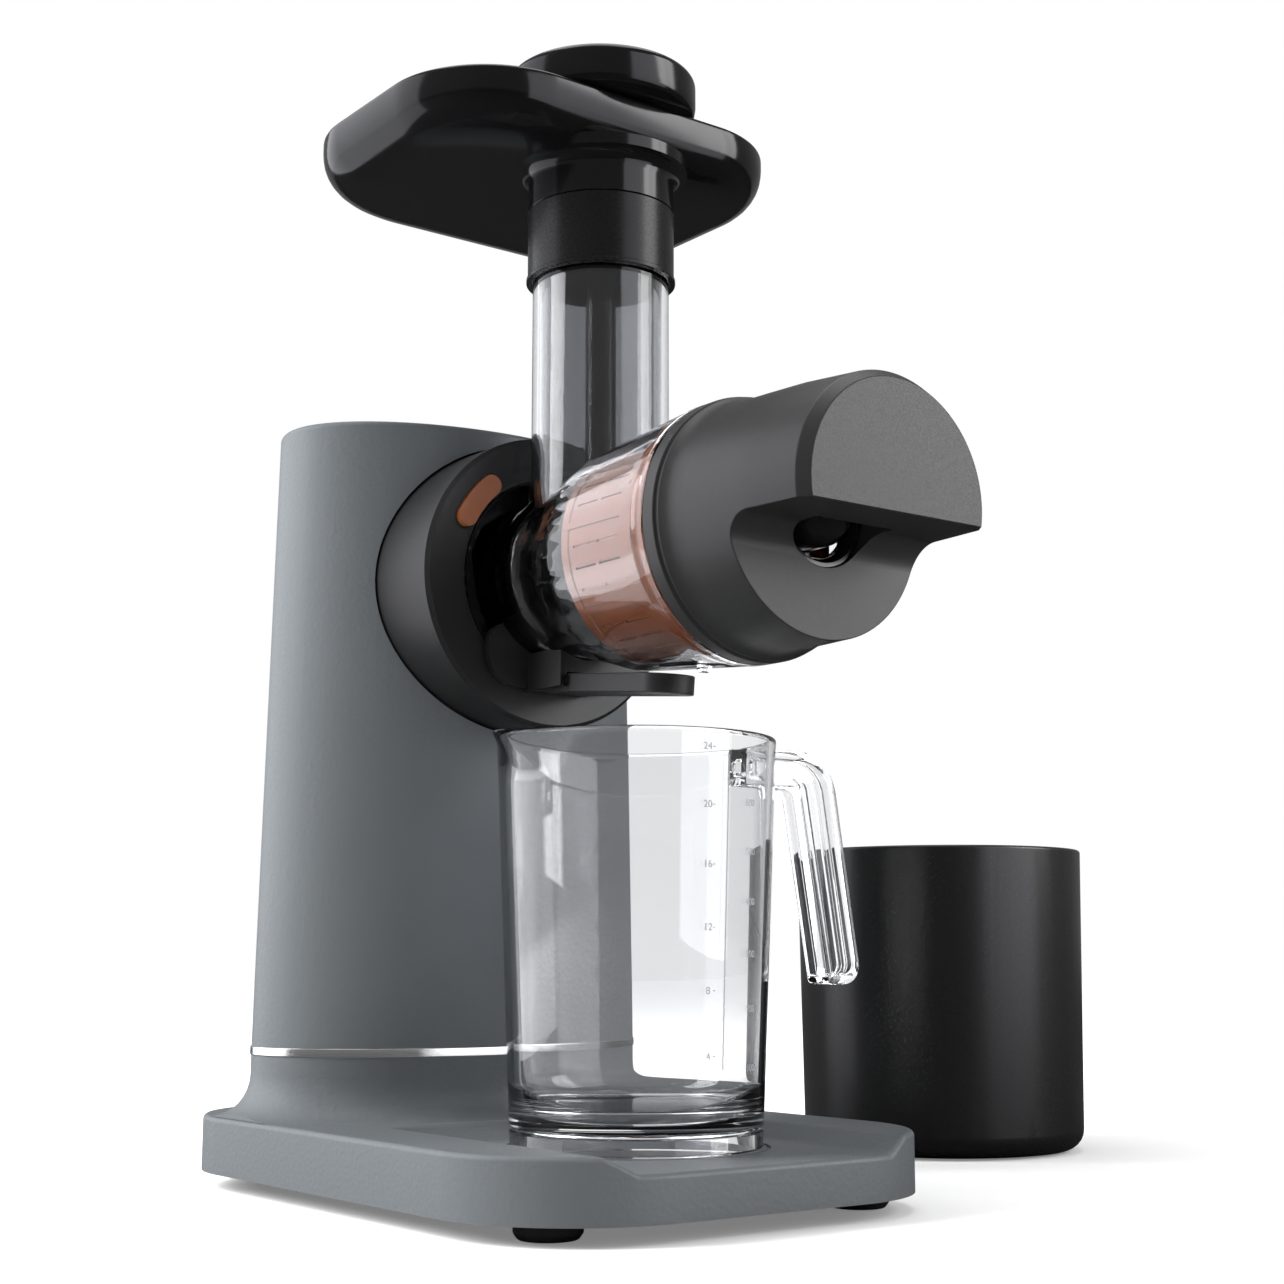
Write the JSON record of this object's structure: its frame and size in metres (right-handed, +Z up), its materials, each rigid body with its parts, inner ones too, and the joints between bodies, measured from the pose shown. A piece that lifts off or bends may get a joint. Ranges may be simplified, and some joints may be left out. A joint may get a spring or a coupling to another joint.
{
  "type": "cold press juicer",
  "caption": "Horizontal slow juicer with oval motor tower, clear pressing chamber, hooded pulp outlet, feed tray with pusher, measuring jug and separate pulp container.",
  "frame": {"origin": "on the floor, straight below the press axis, at the bottom of the middle rubber foot", "axes": "+X to the right of somebody facing the front, -Y to the front, +Z up"},
  "size_m": [0.3844, 0.3091, 0.4],
  "materials": {
    "slate_shell": "satin, fine texture",
    "satin_black": "satin",
    "gloss_black": "polished",
    "clear_plastic": "clear, polished",
    "orange_plastic": "polished",
    "orange_satin": "satin",
    "chrome_trim": "polished",
    "steel": "brushed",
    "brass": "machined",
    "rubber": "matte",
    "board_green": "matte"
  },
  "bodies": {
    "housing": {"base_plate": "slate_shell", "tower_foot": "slate_shell", "chrome_band": "chrome_trim", "bottom_cover": "satin_black", "base_screws": "steel", "rubber_feet": "rubber", "tower_shell": "slate_shell", "hub_housing": "satin_black", "bayonet_ring": "gloss_black", "shaft_seal": "rubber", "gearbox_plate": "satin_black", "gearbox_cover": "satin_black", "gearbox_screws": "steel", "gear_axles": "steel", "shaft_bushes": "brass", "motor_can": "steel", "motor_endbell": "satin_black", "motor_cradle": "satin_black", "carbon_brushes": "gloss_black", "circuit_board": "board_green", "switch_housing": "gloss_black", "rear_vent": "satin_black", "cord_gland": "rubber", "release_spring": "steel"},
    "motor_rotor": {"motor_armature": "brass", "motor_shaft": "steel", "motor_pinion": "brass", "cooling_fan": "gloss_black"},
    "cluster_a": {"cluster_gear_a": "brass"},
    "cluster_b": {"cluster_gear_b": "brass"},
    "auger_drive": {"output_gear": "brass", "drive_shaft": "steel", "auger": "gloss_black"},
    "rocker": {"power_rocker": "satin_black"},
    "button": {"release_button": "orange_satin"},
    "chamber": {"juicing_chamber": "clear_plastic", "chamber_seal": "rubber", "chute_collar": "gloss_black", "filter_basket": "orange_plastic", "filter_screen": "orange_plastic", "drip_block": "satin_black"},
    "drip_stop": {"drip_slide": "satin_black"},
    "pulp_end_cap": {"end_cap": "satin_black", "cap_seal": "rubber", "outlet_ring": "gloss_black"},
    "tray": {"feed_tray": "gloss_black"},
    "pusher": {"pusher_body": "gloss_black", "pusher_stem": "gloss_black", "pusher_knob": "gloss_black"},
    "jug": {"juice_jug": "clear_plastic"},
    "pulp_bin": {"pulp_container": "satin_black"}
  },
  "joints": [
    {"name": "auger_spin", "type": "hinge", "parent": "housing", "child": "auger_drive", "pos_m": [0, 0, 0.2162], "axis": [0, 1, 0], "continuous": true},
    {"name": "cluster_b_spin", "type": "hinge", "parent": "housing", "child": "cluster_b", "pos_m": [0, 0, 0.1682], "axis": [0, 1, 0], "continuous": true},
    {"name": "cluster_a_spin", "type": "hinge", "parent": "housing", "child": "cluster_a", "pos_m": [0, 0, 0.1332], "axis": [0, 1, 0], "continuous": true},
    {"name": "motor_spin", "type": "hinge", "parent": "housing", "child": "motor_rotor", "pos_m": [0, 0, 0.1002], "axis": [0, 1, 0], "continuous": true},
    {"name": "rocker_tilt", "type": "hinge", "parent": "housing", "child": "rocker", "pos_m": [0, 0.061, 0.168], "axis": [1, 0, 0], "range_deg": [-9, 9]},
    {"name": "button_press", "type": "slide", "parent": "housing", "child": "button", "axis": [0, 1, 0], "range_m": [0, 0.0025], "stiffness_N_per_m": 900, "springref_m": -0.001, "deforming": ["release_spring"]},
    {"name": "chamber_twist", "type": "hinge", "parent": "housing", "child": "chamber", "pos_m": [0, 0, 0.2162], "axis": [0, 1, 0], "range_deg": [0, 30]},
    {"name": "drip_pull", "type": "slide", "parent": "chamber", "child": "drip_stop", "axis": [0, -0.9945, -0.1045], "range_m": [0, 0.018]},
    {"name": "cap_twist", "type": "hinge", "parent": "chamber", "child": "pulp_end_cap", "pos_m": [0, 0, 0.2162], "axis": [0, -1, 0], "range_deg": [0, 30]},
    {"name": "tray_lift", "type": "slide", "parent": "chamber", "child": "tray", "axis": [0, 0, 1], "range_m": [0, 0.05]},
    {"name": "pusher_lift", "type": "slide", "parent": "tray", "child": "pusher", "axis": [0, 0, 1], "range_m": [0, 0.1]},
    {"name": "jug_slide", "type": "slide", "parent": "housing", "child": "jug", "axis": [0, -1, 0], "range_m": [0, 0.18]},
    {"name": "bin_lift", "type": "slide", "parent": "housing", "child": "pulp_bin", "axis": [0, 0, 1], "range_m": [0, 0.15]}
  ],
  "couplings": [
    {"joint": "cluster_b_spin", "follows": "auger_spin", "ratio": -3.5714},
    {"joint": "cluster_a_spin", "follows": "auger_spin", "ratio": 13.095},
    {"joint": "motor_spin", "follows": "auger_spin", "ratio": -58.929}
  ]
}
